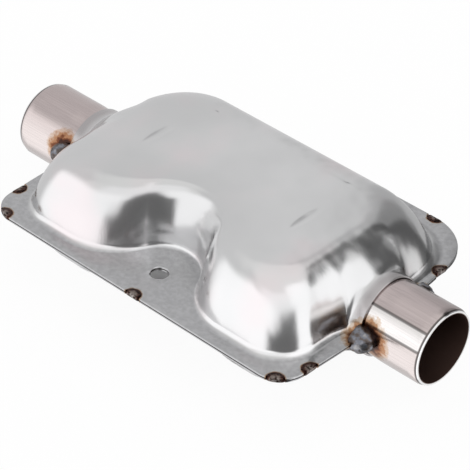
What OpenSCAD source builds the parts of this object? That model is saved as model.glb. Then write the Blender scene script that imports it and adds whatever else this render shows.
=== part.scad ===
// Exhaust muffler of a small diesel air heater.
// Two stamped stainless half shells, tack welded round their flanges, hold an inlet and
// an outlet pipe on one axis. Two baffle plates and a perforated core tube sit inside.
// X runs along the pipes towards the outlet, Y to the plain side, Z up.
// Each piece is drawn about the pipe axis, on the plane where the two shells meet, and the
// whole then stands on the lower shell's flat bottom, with the origin on that face.

/* [Sheet] */
// Thickness of the sheet of each shell
sheet = 0.7; // [0.6:0.1:1.2]
// Height of the upper shell's flat top above the joint plane
upper_h = 20.5; // [19:0.5:25]
// Depth of the lower shell's flat bottom below the joint plane
lower_h = 16.5; // [16:0.5:20.5]

/* [Flange] */
// Length of the flange along the pipes
flange_len = 120; // [118:1:140]
// From the pipe axis to the flange's edge on the bolt side
flange_near = 44.5; // [43:0.5:52]
// From the pipe axis to the flange's edge on the plain side
flange_far = 45; // [43:0.5:52]
// Radius of the flange's corners on the bolt side
flange_near_r = 9; // [5:0.5:14]
// Radius of the flange's plain corner at the inlet end
flange_inlet_r = 13; // [8:0.5:18]
// Radius of the flange's plain corner at the outlet end
flange_outlet_r = 17.5; // [8:0.5:18]
// How far the end edges fall back from the pipe to their corners
end_bow = 1; // [0:0.25:2]
// How far the outlet edge falls back to its plain corner
outlet_bow = 3.25; // [0:0.25:4]

/* [Chamber] */
// Half length of the chamber at its foot
foot_len = 56; // [54:0.5:57]
// From the pipe axis to the chamber's foot on the bolt side
foot_near = 41; // [38:0.5:41.5]
// From the pipe axis to the chamber's foot on the plain side
foot_far = 40.5; // [38:0.5:41.5]
// Corner radius of the foot on the bolt side
foot_near_r = 14.5; // [10:0.5:18]
// Corner radius of the foot on the plain side
foot_far_r = 19; // [12:0.5:22]
// Corner radius of the flat top
top_r = 14; // [8:0.5:15]
// Lean of the end walls and of the bolt side wall, from level
wall_angle = 68; // [62:1:72]
// Width in plan of the upper shell's softer slope on the plain side
far_run = 23; // [17:0.5:25]
// Radius where the walls rise from the flange
foot_fillet = 4; // [2:0.5:5]
// Radius of the shoulder round the flat top
shoulder_r = 8; // [4:0.5:10]

/* [Bolt pocket] */
// From the pipe axis to the middle of the bolt hole
bolt_y = 32; // [31:0.5:34]
// Diameter of the bolt hole
bolt_d = 5.5; // [4:0.1:8]
// Radius of the pocket's floor
pocket_floor_r = 11.5; // [9:0.5:12.5]
// Radius of the pocket's rim at the flat top
pocket_rim_r = 19.5; // [17:0.5:21]
// Radius of the pocket's mouth where it opens to the edge
pocket_mouth_r = 16.5; // [10:0.5:18]

/* [Pipes] */
// Outer diameter of the inlet and outlet pipes
pipe_d = 24; // [20:0.5:24]
// Wall of the pipes
pipe_wall = 1.2; // [0.8:0.1:2]
// How far the inlet pipe stands out past its collar
inlet_out = 22; // [15:0.5:40]
// How far the outlet pipe stands out past its collar
outlet_out = 20; // [15:0.5:40]
// How much the hose's seat is larger in radius than the pipe behind it
seat_swell = 0.2; // [0.2:0.1:0.5]
// Free length between the weld beads and the hose's seat
seat_gap = 1; // [0.5:0.5:3]
// Length of each pipe's end past its baffle plate
pipe_in = 10; // [5:0.5:14]
// Depth of the bevel on a pipe's outer end
bevel_depth = 0.5; // [0.2:0.1:0.6]
// Length of the bevel on a pipe's outer end
bevel_len = 1.5; // [0.5:0.1:3]
// Gap between a pipe and what it passes through
pipe_fit = 0.1; // [0.05:0.05:0.2]
// From the middle to the end of the collars
collar_end = 59; // [58:0.5:60]
// Softness of the hollow where a collar meets the end wall
collar_blend = 6; // [0:0.5:8]

/* [Baffles] */
// From the middle to each baffle plate
baffle_x = 29.5; // [22:0.5:31]
// Thickness of a baffle plate
baffle_t = 1; // [0.8:0.1:2]
// Gap between a baffle plate and the shells
baffle_gap = 0.2; // [0.1:0.1:0.4]
// Diameter of the gas holes in a baffle plate
gas_hole_d = 5; // [3:0.5:6]
// Sideways distance of the gas holes from the pipe axis
gas_hole_y = 20; // [17:0.5:22]
// Height of the gas holes above and below the pipe axis
gas_hole_z = 7; // [5:0.5:8]
// Length of the locating dimples over the baffle plates
dimple_len = 15; // [8:1:20]
// Width of the locating dimples
dimple_w = 3.2; // [2:0.1:4]
// Sideways place of the locating dimples
dimple_y = -2.5; // [-6:0.5:4]

/* [Core tube] */
// Wall of the perforated core tube
core_wall = 0.8; // [0.6:0.1:1.2]
// Gap between the core tube and a baffle plate
core_gap = 0.2; // [0.1:0.1:0.5]
// Diameter of the holes in the core tube
core_hole_d = 4; // [2:0.5:5]
// Spacing of the rings of holes along the core tube
core_pitch = 7; // [6:0.5:9]

/* [Welds] */
// Radius of a tack weld on the flange's edge
tack_r = 2.8; // [2:0.1:3.5]
// How far a tack weld stands proud of the sheet
tack_proud = 0.2; // [0.1:0.1:0.4]
// Radius of the weld beads beside the outlet pipe
outlet_bead_r = 4; // [3:0.1:5]
// Radius of the weld beads beside the inlet pipe
inlet_bead_r = 3.5; // [3:0.1:5]
// Length of a weld bead along its pipe, as a share of its radius
bead_stretch = 1.4; // [1:0.1:2]

/* [Hidden] */
$fn = 64;

pipe_r = pipe_d / 2;
body_r = pipe_r - seat_swell;
hole_r = body_r + pipe_fit;
// Facets of a corner, of the way to the plain side, half a pocket arc, a mouth arc, half a
// collar and a rounded edge
corner_steps = 7;
far_steps = 9;
pocket_steps = 7;
mouth_steps = 6;
collar_steps = 9;
fillet_steps = 3;
shoulder_steps = 5;
bead_steps = 6;
// Radius round a faceted collar whose flats just clear the pipe
collar_r = hole_r / cos(45 / collar_steps);
// Depth of the locating dimples
dimple_depth = dimple_w / 6;

// Middles of the flange's corner circles, on the outlet side and on the inlet side
near_corner = [flange_len / 2 - end_bow - flange_near_r, flange_near_r - flange_near];
outlet_corner = [flange_len / 2 - outlet_bow - flange_outlet_r, flange_far - flange_outlet_r];
inlet_corner = [flange_len / 2 - end_bow - flange_inlet_r, flange_far - flange_inlet_r];

function mix(a, b, t) = a + (b - a) * t;
function flip(p) = [-p.x, p.y];
function on_circle(centre, r, a) = centre + r * [cos(a), sin(a)];

// Rise of a wall from its flange in a shell of height h, and the wall's width in plan
function rise(h) = h - sheet;
function wall_run(h) = rise(h) / tan(wall_angle) + (foot_fillet + shoulder_r) * tan(wall_angle / 2);

// X of a flange's end edge at a given y, which falls back towards its plain corner
function edge_x(y, far_corner, far_bow) =
    flange_len / 2 - (y < 0 ? end_bow * (y / near_corner.y) ^ 2 : far_bow * y / far_corner.y);

// Tack welds on the end edges, past the near corners and short of the outlet's plain corner
outlet_tack_y = near_corner.y + 2.5;
inlet_tack_y = near_corner.y + 3;
far_tack_y = outlet_corner.y - 1.5;

// Each tack weld's node and the middle of its round, on the flange's edge
TACKS = [
    ["tack_near_inlet", flip(on_circle(near_corner, flange_near_r, -72))],
    ["tack_near_middle", [1.5, -flange_near]],
    ["tack_near_outlet", on_circle(near_corner, flange_near_r, -56)],
    ["tack_outlet_near", [edge_x(outlet_tack_y, outlet_corner, outlet_bow), outlet_tack_y]],
    ["tack_outlet_far", [edge_x(far_tack_y, outlet_corner, outlet_bow), far_tack_y]],
    ["tack_far_outlet", [outlet_corner.x, flange_far]],
    ["tack_far_middle", [13, flange_far]],
    ["tack_far_inlet", [-19.5, flange_far]],
    ["tack_inlet_far", flip(on_circle(inlet_corner, flange_inlet_r, 56))],
    ["tack_inlet_near", [-edge_x(inlet_tack_y, inlet_corner, end_bow), inlet_tack_y]],
];

// Each pipe weld's node, its end, its side, its bead's radius and its lift off the joint
WELDS = [
    ["weld_inlet_near", -1, -1, inlet_bead_r, 2],
    ["weld_inlet_far", -1, 1, inlet_bead_r, 0],
    ["weld_outlet_near", 1, -1, outlet_bead_r, 0],
    ["weld_outlet_far", 1, 1, outlet_bead_r, 0],
];

// The wall seen from its side, as pairs of plan fraction and height: a hollow foot, a
// straight lean and a round shoulder. An inset of one sheet gives the inner face.
function wall_profile(inset, h) =
    let (foot = foot_fillet + inset,
         shoulder = shoulder_r - inset,
         run = wall_run(h),
         low = [foot * sin(wall_angle), foot * (1 - cos(wall_angle))],
         high = [run - shoulder * sin(wall_angle), rise(h) - shoulder * (1 - cos(wall_angle))])
    concat(
        [for (i = [0:fillet_steps]) let (a = wall_angle * i / fillet_steps)
            [foot * sin(a) / run, foot * (1 - cos(a))]],
        [for (t = [0.25, 0.5, 0.75]) let (p = mix(low, high, t)) [p.x / run, p.y]],
        [for (i = [0:shoulder_steps]) let (a = wall_angle * (1 - i / shoulder_steps))
            [1 - shoulder * sin(a) / run, rise(h) - shoulder * (1 - cos(a))]]);

// Sideways places of the facets of a collar of radius r
function collar_ys(r) =
    [for (i = [-collar_steps:collar_steps]) r * sin(90 * i / collar_steps)];

// Height with the half round collar blended into the wall, but not into the flat top
function with_collar(y, z, r, h) =
    let (c = sqrt(max(0, r ^ 2 - y ^ 2)),
         k = min(collar_blend, rise(h) - collar_r) * c / r,
         near = k > 0 ? max(0, k - abs(z - c)) / k : 0)
    max(z, c) + near ^ 2 * k / 4;

// X of the chamber's end outline at a given y, round its two corners
function end_x(y, x, near, near_r, far, far_r) =
    y < near + near_r ? x - near_r + sqrt(max(0, near_r ^ 2 - (y - near - near_r) ^ 2)) :
    y > far - far_r ? x - far_r + sqrt(max(0, far_r ^ 2 - (y - far + far_r) ^ 2)) : x;

// Point at a share s of the way up an end from the collar and round the plain corner. The
// end leans in by the given slope.
function far_path(corner, radius, slope, from_y, s) =
    let (straight = max(0, corner.y - from_y),
         start = asin(min(1, max(0, (from_y - corner.y) / radius))),
         d = s * (straight + radius * (90 - start) * PI / 180) - straight)
    d < 0 ? [corner.x + radius - slope * d, corner.y + d] :
        on_circle(corner, radius, start + d / radius * 180 / PI);

// Half of the chamber's outline at a fraction t of the wall, from the middle of the
// pocket round the end to the plain side, with a point at each facet of the collar
function half_outline(t, r, h) =
    let (x = foot_len - wall_run(h) * t,
         near = -foot_near + wall_run(h) * t,
         far = foot_far - far_run * t * rise(h) / rise(upper_h),
         floor_r = mix(pocket_floor_r, pocket_rim_r, t),
         mouth_y = near + pocket_mouth_r,
         mouth_x = sqrt((floor_r + pocket_mouth_r) ^ 2 - (mouth_y + bolt_y) ^ 2),
         open_a = atan2(mouth_y + bolt_y, mouth_x),
         near_r = min(mix(foot_near_r, top_r, t), x - mouth_x),
         far_r = mix(foot_far_r, top_r, t),
         near_end = asin(min(0, max(-1, (-r - near - near_r) / near_r))))
    concat(
        [for (i = [0:pocket_steps])
            on_circle([0, -bolt_y], floor_r, mix(90, open_a, i / pocket_steps))],
        [for (i = [1:mouth_steps])
            on_circle([mouth_x, mouth_y], pocket_mouth_r, mix(180 + open_a, 270, i / mouth_steps))],
        [for (i = [0:corner_steps - 1])
            on_circle([x - near_r, near + near_r], near_r, mix(-90, near_end, i / corner_steps))],
        [for (y = collar_ys(r)) [end_x(y, x, near, near_r, far, far_r), y]],
        [for (i = [1:far_steps]) far_path([x - far_r, far - far_r], far_r, 0, r, i / far_steps)]);

// Half of the flange's edge, with a point for each point of the chamber's outline
function half_edge(far_corner, far_r, far_bow, r) =
    let (foot = half_outline(0, r, upper_h), arc_steps = corner_steps - 3)
    concat(
        [for (i = [0:pocket_steps + mouth_steps]) [foot[i].x, -flange_near]],
        [for (i = [0:arc_steps])
            on_circle(near_corner, flange_near_r, mix(-90, 0, i / arc_steps))],
        [for (t = [1 / 3, 2 / 3]) let (y = mix(near_corner.y, -r, t))
            [edge_x(y, far_corner, far_bow), y]],
        [for (y = collar_ys(r)) [collar_end, y]],
        [for (i = [1:far_steps])
            far_path(far_corner, far_r, far_bow / far_corner.y, r, i / far_steps)]);

// A closed ring from its outlet half and its inlet half, which is mirrored
function whole_ring(outlet, inlet) =
    concat(outlet, [for (i = [len(inlet) - 1:-1:1]) flip(inlet[i])]);

// The flange's edge, with the outlet at +X, or at -X where turned
function edge_ring(r, turned = false) =
    let (outlet = half_edge(outlet_corner, flange_outlet_r, outlet_bow, r),
         inlet = half_edge(inlet_corner, flange_inlet_r, end_bow, r))
    turned ? whole_ring(inlet, outlet) : whole_ring(outlet, inlet);

function chamber_ring(t, r, h) = let (half = half_outline(t, r, h)) whole_ring(half, half);

function raised(ring, z, r, h) = [for (p = ring) [p.x, p.y, with_collar(p.y, z, r, h)]];

// Rings of one face of the sheet from its foot to the flat top
function wall_rings(inset, h) =
    let (r = collar_r + sheet - inset)
    [for (q = wall_profile(inset, h)) raised(chamber_ring(q.x, r, h), sheet - inset + q.y, r, h)];

// Y where a half outline crosses the plane at x, on the bolt side and on the plain side
function crossings(half, x) =
    let (line = concat(half, [[0, half[len(half) - 1].y]]))
    [for (i = [1:len(half)]) let (a = line[i - 1], b = line[i])
        if ((a.x > x) != (b.x > x)) mix(a, b, (x - a.x) / (b.x - a.x)).y];

// Half of a baffle plate's outline in a shell of height h, from the bolt side over the
// top to the plain side, clear of the shell at both faces of the plate
function baffle_half(h) =
    let (inset = sheet + baffle_gap,
         cuts = [for (q = wall_profile(inset, h)) if (q.y > baffle_gap)
             let (half = half_outline(q.x, collar_r - baffle_gap, h),
                  inner = crossings(half, baffle_x - baffle_t / 2),
                  outer = crossings(half, baffle_x + baffle_t / 2))
             [max(inner[0], outer[0]), min(inner[1], outer[1]), q.y - baffle_gap]])
    concat([for (c = cuts) [c[0], c[2]]], [for (i = [len(cuts) - 1:-1:0]) [cuts[i][1], cuts[i][2]]]);

// Closed solid through a row of rings with equal counts of points, capped at both ends
module skin(rings) {
    n = len(rings[0]);
    last = len(rings) - 1;
    points = [for (ring = rings) each ring];
    sides = [for (k = [0:last - 1], i = [0:n - 1])
        let (a = k * n + i, b = k * n + (i + 1) % n)
        each [[a, a + n, b + n], [a, b + n, b]]];
    foot_cap = [for (i = [0:n - 1]) i];
    top_cap = [for (i = [n - 1:-1:0]) last * n + i];
    polyhedron(points, concat([foot_cap], sides, [top_cap]));
}

module pipe_bar(r, from, to) {
    translate([from, 0, 0]) rotate([0, 90, 0]) cylinder(r = r, h = to - from);
}

// Round bar bent along a dimple of a shell of height h, and thicker than the dimple's
// hollow by the given amount
module dimple_bar(side, extra, h) {
    small_r = dimple_w ^ 2 / (8 * dimple_depth) + dimple_depth / 2;
    long_r = dimple_len ^ 2 / (8 * dimple_depth) + dimple_depth / 2;
    translate([side * baffle_x, dimple_y, h - dimple_depth + long_r])
        rotate([0, 90, 0])
            rotate_extrude($fn = 128) translate([long_r - small_r, 0]) circle(small_r + extra);
}

// Bulge that a dimple leaves on the inner face of the sheet
module dimple_bulge(side, h) {
    intersection() {
        dimple_bar(side, sheet, h);
        translate([side * baffle_x, dimple_y, h - sheet])
            cube([2 * dimple_len, 2 * dimple_len, sheet], center = true);
    }
}

// Half shell as stamped to height h, its flange's lower face on the joint plane. It has
// its outlet end at -X where turned.
module half_shell(h, turned = false) {
    r_in = collar_r;
    r_out = collar_r + sheet;
    inner = concat([raised(edge_ring(r_in, turned), 0, r_in, h)], wall_rings(sheet, h));
    outer = concat([raised(edge_ring(r_out, turned), sheet, r_out, h)], wall_rings(0, h));
    last = len(inner) - 1;
    difference() {
        union() {
            skin(concat([for (k = [last:-1:0]) inner[k]], outer));
            for (side = [-1, 1]) dimple_bulge(side, h);
        }
        for (side = [-1, 1]) dimple_bar(side, 0, h);
        translate([0, -bolt_y, -sheet]) cylinder(d = bolt_d, h = 3 * sheet);
        for (tack = TACKS)
            translate([turned ? -tack[1].x : tack[1].x, tack[1].y, -sheet])
                cylinder(r = tack_r, h = 3 * sheet);
    }
}

// Pipe carried by its collar and its baffle plate, with a slightly larger seat for a hose
// past its weld beads and a bevelled outer end
module pipe(side, out, bead_r) {
    from = baffle_x - pipe_in;
    seat = collar_end + bead_stretch * bead_r + seat_gap;
    to = collar_end + out;
    profile = [
        [pipe_r - pipe_wall, from],
        [body_r, from],
        [body_r, seat - seat_swell],
        [pipe_r, seat],
        [pipe_r, to - bevel_len],
        [pipe_r - bevel_depth, to],
        [pipe_r - pipe_wall, to],
    ];
    rotate([0, side * 90, 0]) rotate_extrude() polygon(profile);
}

// Plate across the cavity, notched for the dimples, with a pipe hole and four gas holes
module baffle(side) {
    lower_half = baffle_half(lower_h);
    outline = concat(baffle_half(upper_h), [for (i = [len(lower_half) - 1:-1:0]) [lower_half[i].x, -lower_half[i].y]]);
    difference() {
        translate([side * baffle_x - baffle_t / 2, 0, 0])
            rotate([90, 0, 90]) linear_extrude(baffle_t) polygon(outline);
        pipe_bar(hole_r, side * baffle_x - baffle_t, side * baffle_x + baffle_t);
        for (y = [-gas_hole_y, gas_hole_y], z = [-gas_hole_z, gas_hole_z])
            translate([side * baffle_x, y, z])
                rotate([0, 90, 0]) cylinder(d = gas_hole_d, h = 2 * baffle_t, center = true);
        dimple_bar(side, sheet + baffle_gap, upper_h);
        rotate([0, 180, 0]) dimple_bar(-side, sheet + baffle_gap, lower_h);
    }
}

// Perforated tube slid over the inner ends of both pipes
module core() {
    half = baffle_x - baffle_t / 2 - core_gap;
    rings = floor((baffle_x - pipe_in - core_hole_d) / core_pitch);
    difference() {
        pipe_bar(hole_r + core_wall, -half, half);
        pipe_bar(hole_r, -half - 1, half + 1);
        for (i = [-rings:rings], a = [0:45:315])
            translate([i * core_pitch, 0, 0]) rotate([a + 22.5 * (i % 2), 0, 0])
                translate([0, 0, pipe_r / 2]) cylinder(d = core_hole_d, h = pipe_r);
    }
}

// Bead in front of the collar's end and the flange's edge, beside a pipe
module pipe_weld(end, side, r, lift) {
    dome = [for (i = [0:bead_steps]) let (a = 90 * i / bead_steps) [r * cos(a), bead_stretch * r * sin(a)]];
    difference() {
        translate([end * collar_end, side * (body_r + r / 3), lift])
            rotate([0, end * 90, 0]) rotate_extrude() polygon(concat([[0, 0]], dome));
        pipe_bar(body_r, -collar_end - 3 * r, collar_end + 3 * r);
        for (edge_r = [collar_r, collar_r + sheet])
            translate([0, 0, -sheet]) linear_extrude(2 * sheet) polygon(edge_ring(edge_r));
    }
}

// Melted round of a tack weld, through both sheets and proud of them
module tack_weld(place) {
    intersection() {
        translate([place.x, place.y, 0])
            cylinder(r = tack_r, h = 2 * (sheet + tack_proud), center = true);
        linear_extrude(3 * sheet, center = true) polygon(edge_ring(collar_r + sheet));
    }
}

module upper_shell() { color("silver") half_shell(upper_h); }
module lower_shell() { color("silver") rotate([0, 180, 0]) half_shell(lower_h, true); }
module inlet_pipe() { color("rosybrown") pipe(-1, inlet_out, inlet_bead_r); }
module outlet_pipe() { color("rosybrown") pipe(1, outlet_out, outlet_bead_r); }
module inlet_baffle() { color("lightslategray") baffle(-1); }
module outlet_baffle() { color("lightslategray") baffle(1); }
module core_tube() { color("gray") core(); }

// Lifts a piece from the joint plane so that the lower shell's flat bottom is at zero
module stood() { translate([0, 0, lower_h]) children(); }

stood() upper_shell();
stood() lower_shell();
stood() inlet_pipe();
stood() outlet_pipe();
stood() inlet_baffle();
stood() outlet_baffle();
stood() core_tube();
for (weld = WELDS)
    stood() color("dimgray") pipe_weld(weld[1], weld[2], weld[3], weld[4]);
for (tack = TACKS)
    stood() color("saddlebrown") tack_weld(tack[1]);
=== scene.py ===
# %% [markdown]
# # Diesel heater muffler
#
# A small muffler for the exhaust of a diesel air heater. Two stamped stainless half
# shells meet at a flange, which is tack welded round its edge. A pipe stands out at each
# end, held by a bead of weld on both sides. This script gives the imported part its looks:
# sheet that bends softly, polished steel, drawn pipe, and weld with its heat tint.
#
# Lengths are written in millimetres, as on a drawing, and become metres at the end.

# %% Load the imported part
import math

import bpy
import numpy as np
from mathutils import Matrix, Vector, noise
from mathutils.geometry import delaunay_2d_cdt


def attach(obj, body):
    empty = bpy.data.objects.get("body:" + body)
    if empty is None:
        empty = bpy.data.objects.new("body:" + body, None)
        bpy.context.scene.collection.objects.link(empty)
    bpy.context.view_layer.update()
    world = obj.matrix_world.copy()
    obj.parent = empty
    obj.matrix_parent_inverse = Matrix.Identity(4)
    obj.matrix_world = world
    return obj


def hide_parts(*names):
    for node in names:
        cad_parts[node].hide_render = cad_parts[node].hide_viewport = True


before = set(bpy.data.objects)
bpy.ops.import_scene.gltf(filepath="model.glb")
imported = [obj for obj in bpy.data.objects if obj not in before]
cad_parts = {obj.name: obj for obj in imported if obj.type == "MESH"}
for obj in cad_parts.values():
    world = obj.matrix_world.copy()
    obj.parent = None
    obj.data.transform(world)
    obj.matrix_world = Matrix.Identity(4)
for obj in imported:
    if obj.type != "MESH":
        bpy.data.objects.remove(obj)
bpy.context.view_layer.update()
print("nodes in the part:", len(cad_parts))

# %% [markdown]
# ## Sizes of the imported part
#
# The flange, the foot of the chamber, the bolt pocket, the collars and the pipes repeat
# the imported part's sizes. The joint plane, where the two flanges meet, is as high as the
# lower shell is deep, because the muffler stands on that shell's flat bottom.
#
# The outlet is at the +X end and the inlet at the -X end. Near is the side with the bolt
# pocket, at -Y, and far is the plain side. half is half of a length, a bow is how far an
# edge curves in, and FAR_RUN is how far the far wall leans in.

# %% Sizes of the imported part
SHEET = 0.7
UPPER_H = 20.5
LOWER_H = 16.5
JOINT = LOWER_H
FLANGE = dict(half=60.0, near=44.5, far=45.0, near_r=9.0, near_bow=1.0,
              inlet_r=13.0, inlet_bow=1.0, outlet_r=17.5, outlet_bow=3.25)
FOOT = dict(half=56.0, near=41.0, far=40.5, near_r=14.5, far_r=19.0)
TOP_R = 14.0
FAR_RUN = 23.0
BOLT_Y = 32.0
BOLT_R = 2.75
POCKET_FLOOR_R = 11.5
POCKET_RIM_R = 19.5
PIPE_R = 12.0
BODY_R = 11.8
BORE_R = 10.8
COLLAR_R = 11.95
COLLAR_END = 59.0
COLLAR_FILLET = 2.0
STUBS = dict(inlet=22.0, outlet=20.0)
BEVEL = 1.5
DIMPLE_X = 29.5
DIMPLE_Y = -2.5
print("flange:", 2 * FLANGE["half"], "by", FLANGE["near"] + FLANGE["far"], "mm")

# %% [markdown]
# ## Soft places of the sheet
#
# A drawing has one radius per edge, but pressed sheet is softer: a tight foot, a wall
# that bulges a little, a rounder shoulder, corners drawn tighter at half height, wide
# curves at the mouth of the pocket, a slight crown on the top, and a flare where a collar
# grows out of its end wall. These sizes are this script's own. Polished steel shows each
# of them in the way that the room bends on it.

# %% Soft places of the sheet
WALL_LOW, WALL_HIGH = math.radians(78), math.radians(60)
FOOT_FILLET = 2.5
SHOULDER_R = 9.5
CORNER_DRAW = 3.0
MOUTH_R = 21.0
CROWN, CROWN_W = 0.35, 12.0
CROWN_ANGLE = math.atan(2 * CROWN / CROWN_W)
DIMPLE_LEN, DIMPLE_W, DIMPLE_DEPTH = 15.0, 3.2, 0.3
COLLAR_BLEND = 6.0
FLARE, FLARE_W = 1.0, 9.0
TRUMPET = 4.0
print("crown's slope at the shoulder:", round(math.degrees(CROWN_ANGLE), 2), "degrees")

# %% [markdown]
# ## A wall seen from the side
#
# Deep drawing leaves no sharp edge. A wall is three arcs end to end, each starting in the
# direction in which the last one ends: the hollow fillet at the flange, the slightly
# bulged wall and the round shoulder. A bevel modifier could round the edges of a plain
# block, but then straight faces would lie between them and the reflections would jump.
# With arcs that follow one another they run on smoothly.

# %% A wall seen from the side
FOOT_RINGS, LEAN_RINGS, SHOULDER_RINGS = 10, 10, 16


def rise(h):
    """Height of a shell above the upper face of its flange."""
    return h - SHEET


def lean_r(h):
    """Radius of a wall's slight bulge between its foot and its shoulder."""
    foot = FOOT_FILLET * (1 - math.cos(WALL_LOW))
    shoulder = SHOULDER_R * (math.cos(CROWN_ANGLE) - math.cos(WALL_HIGH))
    left = rise(h) - CROWN - foot - shoulder
    return left / (math.cos(WALL_HIGH) - math.cos(WALL_LOW))


def wall_run(h):
    """Width of a wall in plan: its hollow foot, its lean and its shoulder."""
    low, high, crown = math.sin(WALL_LOW), math.sin(WALL_HIGH), math.sin(CROWN_ANGLE)
    return FOOT_FILLET * low + lean_r(h) * (low - high) + SHOULDER_R * (high - crown)


def wall_profile(inset, h):
    """Plan fraction and height of each ring up the wall, for the outer face or one inside it."""
    foot = FOOT_FILLET + inset
    rows = [(foot * math.sin(a), foot * (1 - math.cos(a)))
            for a in np.linspace(0, WALL_LOW, FOOT_RINGS + 1)]
    for r, low, high, n in ((lean_r(h) - inset, WALL_LOW, WALL_HIGH, LEAN_RINGS),
                            (SHOULDER_R - inset, WALL_HIGH, CROWN_ANGLE, SHOULDER_RINGS)):
        x, z = rows[-1]
        rows += [(x + r * (math.sin(low) - math.sin(a)), z + r * (math.cos(a) - math.cos(low)))
                 for a in np.linspace(low, high, n + 1)[1:]]
    return [(x / wall_run(h), z) for x, z in rows]


print("wall width in plan:", round(wall_run(UPPER_H), 2), "and", round(wall_run(LOWER_H), 2), "mm")

# %% [markdown]
# ## Outlines, one above another
#
# A pressed shell can be read as a stack of outlines. The lowest follows the flange's
# edge, and the next ones climb the wall to the flat top. Joining simple solids would leave
# a seam wherever two of them meet. Here every outline has the same count of points, so
# the sheet between two of them is a neat strip of quads and has no seam at all.
#
# The helpers make an arc, even steps along a line, and the half round section of a collar
# with its fillets.

# %% Arcs, even steps and the collar's section
POCKET_N, MOUTH_N, NEAR_N, FAR_N, SIDE_N = 28, 24, 56, 40, 20
FILLET_N, ARCH_N = 8, 48


def mix(a, b, t):
    return a + (b - a) * t


def eased(t):
    """A share from 0 to 1 that starts and ends gently."""
    return t * t * (3 - 2 * t)


def arc(cx, cy, r, a, b, n):
    angles = np.radians(np.linspace(a, b, n))
    return np.stack([cx + r * np.cos(angles), cy + r * np.sin(angles)], 1)


def resampled(line, n):
    """n + 1 points at even steps along a line of points."""
    steps = np.linalg.norm(np.diff(line, axis=0), axis=1)
    way = np.concatenate([[0], np.cumsum(steps)])
    at = np.linspace(0, way[-1], n + 1)
    return np.stack([np.interp(at, way, line[:, 0]), np.interp(at, way, line[:, 1])], 1)


def collar_section(r, floor, fillet):
    """Sideways places and heights of a half round collar with a fillet at each foot."""
    reach = math.sqrt((r + fillet) ** 2 - (floor + fillet) ** 2)
    lean = math.degrees(math.atan2(floor + fillet, reach))
    foot = arc(reach, floor + fillet, fillet, 270, 180 + lean, FILLET_N + 1)
    top = arc(0, 0, r, lean, 180 - lean, ARCH_N + 1)
    right = np.concatenate([foot[:-1], top])
    left = foot[::-1][1:] * [-1, 1]
    return np.concatenate([right, left])[::-1]


section = collar_section(COLLAR_R + SHEET, SHEET, COLLAR_FILLET)
print("collar with its fillets:", round(2 * section[-1, 0], 1), "mm wide")

# %% [markdown]
# ## The chamber's outline
#
# The chamber is a box with four round corners and a pocket for the bolt, which opens to
# the near side through two outward curves. Each corner is an arc whose radius changes
# with height. The pocket is an arc about the bolt, and the mouth's arc touches both it and
# the near side, so its middle follows from the two radii.

# %% The chamber's outline
CORNER_STEPS = 200
LEAST_STRAIGHT = 0.05
FLARE_LOW, FLARE_GROWTH = 0.5, 6.5


def end_line(y, x, near, near_r, far, far_r):
    """How far out the end wall runs at a sideways place, with its two round corners."""
    near_part = x - near_r + np.sqrt(np.maximum(0, near_r ** 2 - (y - near - near_r) ** 2))
    far_part = x - far_r + np.sqrt(np.maximum(0, far_r ** 2 - (y - far + far_r) ** 2))
    return np.where(y < near + near_r, near_part, np.where(y > far - far_r, far_part, x))


def flare(t, y):
    """How far an end wall swells out beside its collar, most at a quarter of its height."""
    beside = np.clip((np.abs(y) - COLLAR_R) / FLARE_W, 0, 1)
    return FLARE * (FLARE_LOW + FLARE_GROWTH * t) * (1 - min(t, 1)) ** 2 * (1 - beside) ** 2


def chamber_half(t, section, h):
    """Half of the chamber's outline at a fraction t of the way from its foot to its top."""
    x = FOOT["half"] - wall_run(h) * t
    near = -FOOT["near"] + wall_run(h) * t
    far = FOOT["far"] - FAR_RUN * t * rise(h) / rise(UPPER_H)
    floor_r = mix(POCKET_FLOOR_R, POCKET_RIM_R, t)
    mouth_y = near + MOUTH_R
    mouth_x = math.sqrt((floor_r + MOUTH_R) ** 2 - (mouth_y + BOLT_Y) ** 2)
    opening = math.degrees(math.atan2(mouth_y + BOLT_Y, mouth_x))
    drawn = CORNER_DRAW * 4 * t * (1 - t)
    near_r = min(mix(FOOT["near_r"], TOP_R, t) - drawn, x - mouth_x - LEAST_STRAIGHT)
    far_r = mix(FOOT["far_r"], TOP_R, t)
    ys = section[:, 0]

    pocket = arc(0, -BOLT_Y, floor_r, 90, opening, POCKET_N + 1)[:-1]
    mouth = arc(mouth_x, mouth_y, MOUTH_R, 180 + opening, 270, MOUTH_N + 1)[:-1]
    middle = np.stack([end_line(ys, x, near, near_r, far, far_r), ys], 1)
    corner = arc(x - near_r, near + near_r, near_r, -90, 0, CORNER_STEPS)
    line = np.concatenate([[[mouth_x, near]], corner, [[x, max(ys[0], near + near_r)]]])
    line = np.concatenate([line[line[:, 1] <= ys[0]], middle[:1]])
    near_way = resampled(line, NEAR_N)[:-1]
    corner = arc(x - far_r, far - far_r, far_r, 0, 90, CORNER_STEPS)
    line = np.concatenate([[[x, min(ys[-1], far - far_r)]], corner])
    line = np.concatenate([middle[-1:], line[line[:, 1] >= ys[-1]]])
    far_way = resampled(line, FAR_N)[1:]
    side = resampled(np.array([far_way[-1], [0, far]]), SIDE_N)[1:]
    end = np.concatenate([near_way, middle, far_way])
    end[:, 0] += flare(t, end[:, 1])
    return np.concatenate([pocket, mouth, end, side])


def closed_ring(outlet, inlet):
    """A whole outline from the halves at the two ends, the inlet's turned over."""
    return np.concatenate([outlet, inlet[-2:0:-1] * [-1, 1]])


foot_half = chamber_half(0, section, UPPER_H)
print("points in an outline:", len(closed_ring(foot_half, foot_half)))

# %% [markdown]
# ## The flange's edge
#
# The flange is trimmed in another tool than the one that draws the chamber, so its edge
# has corners and slight bows of its own. It gets as many points as the chamber's outline,
# and it bulges out to the end of each collar, whose half round section runs on into the
# sheet's edge.

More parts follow.
